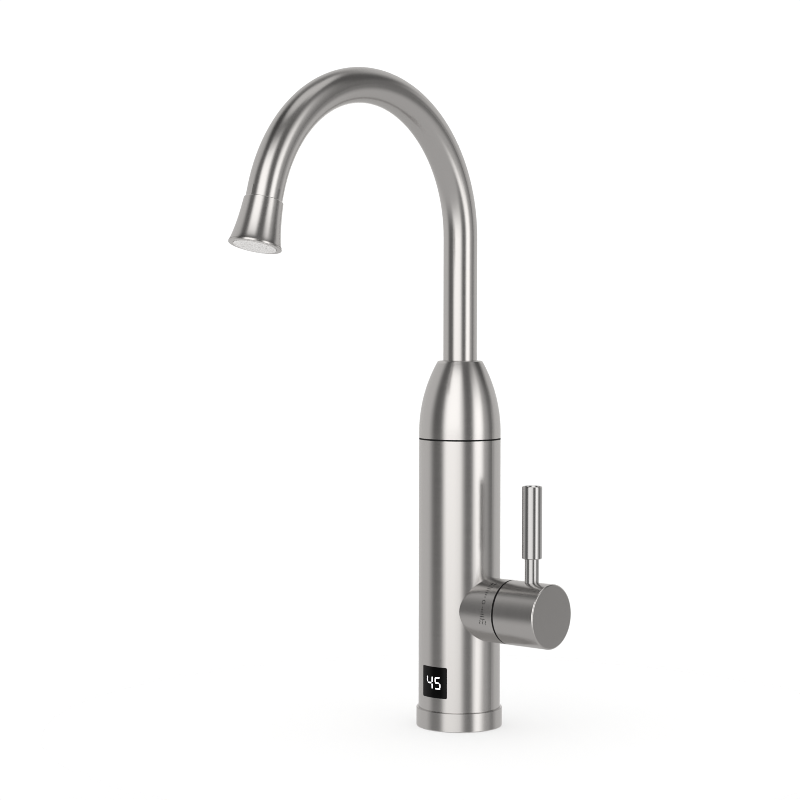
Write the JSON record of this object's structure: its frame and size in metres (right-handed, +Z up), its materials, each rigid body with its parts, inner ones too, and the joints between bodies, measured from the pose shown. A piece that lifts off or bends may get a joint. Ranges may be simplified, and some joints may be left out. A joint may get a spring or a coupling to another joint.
{
  "type": "instant hot water tap",
  "caption": "Deck-mounted electric instant hot water tap with a round body, domed top, swivelling swan-neck spout, side lever valve and a lit temperature display.",
  "frame": {"origin": "middle of the base underside, on the body axis, where the tap stands on the worktop", "axes": "+Z up along the body axis; -Y to the front, the way the spout points at rest; +X along the valve axis, out through the lever hub"},
  "size_m": [0.1052, 0.2366, 0.428],
  "materials": {
    "steel_body": "satin brushed around the axis",
    "steel_valve": "satin brushed around the valve axis",
    "steel_lever": "satin",
    "steel_spout": "satin",
    "black_nylon": "matt black",
    "lens_black": "gloss black",
    "black_rubber": "matt",
    "aerator_plastic": "pale grey",
    "white_acetal": "natural white",
    "brass": "machined",
    "ceramic": "lapped",
    "hardware_steel": "plain",
    "heater_steel": "drawn",
    "circuit_green": "solder resist",
    "component_black": "moulded",
    "lead_insulation": "silicone sleeving"
  },
  "bodies": {
    "tap_body": {"base_plate": "black_nylon", "base_ring": "steel_body", "base_screws": "hardware_steel", "board_parts": "component_black", "body_shell": "steel_body", "cable_gland": "black_nylon", "cartridge_housing": "white_acetal", "cartridge_nut": "brass", "cartridge_seal": "black_rubber", "circuit_boards": "circuit_green", "deck_gasket": "black_rubber", "display_lens": "lens_black", "display_module": "black_nylon", "dome_carrier": "black_nylon", "dome_cover": "steel_body", "fixed_disc": "ceramic", "flow_spring": "hardware_steel", "flow_switch_body": "white_acetal", "flow_switch_cap": "white_acetal", "heater_leads": "lead_insulation", "heater_tank": "heater_steel", "heater_terminals": "heater_steel", "heating_coil": "heater_steel", "hub_gap_ring": "black_nylon", "inlet_filter": "hardware_steel", "inlet_nipple": "brass", "inlet_nut": "brass", "inner_screws": "hardware_steel", "lens_gasket": "black_rubber", "manifold": "brass", "seam_ring": "black_nylon", "slip_washer": "white_acetal", "spout_bearing": "white_acetal", "standoffs": "brass", "swivel_socket": "brass", "tank_clamp": "hardware_steel", "tank_lid": "black_nylon", "tank_o_ring": "black_rubber", "temp_probe": "hardware_steel", "terminal_block": "black_nylon", "thermal_cutout": "component_black", "valve_seat": "brass", "valve_sleeve": "steel_valve"},
    "spout": {"spout_tube": "steel_spout", "spout_shank": "brass", "spout_o_rings": "black_rubber", "spout_circlip": "hardware_steel", "nozzle_bell": "steel_spout", "aerator_washer": "black_rubber", "aerator_screen": "hardware_steel", "aerator_cage": "aerator_plastic", "aerator_face": "aerator_plastic"},
    "lever": {"moving_disc": "ceramic", "cartridge_spindle": "brass", "lever_hub": "steel_valve", "hub_grub_screw": "hardware_steel", "lever_stem": "steel_lever", "lever_grip": "steel_lever"},
    "flow_piston": {"flow_piston": "white_acetal"}
  },
  "joints": [
    {"name": "spout_swivel", "type": "hinge", "parent": "tap_body", "child": "spout", "pos_m": [0, 0, 0.21], "axis": [0, 0, 1], "continuous": true},
    {"name": "lever_turn", "type": "hinge", "parent": "tap_body", "child": "lever", "pos_m": [0.05, 0, 0.07953], "axis": [1, 0, 0], "range_deg": [-45, 45]},
    {"name": "flow_piston_slide", "type": "slide", "parent": "tap_body", "child": "flow_piston", "axis": [0, 0, 1], "range_m": [0, 0.004], "stiffness_N_per_m": 60, "springref_m": -0.004, "deforming": ["flow_spring"]}
  ]
}
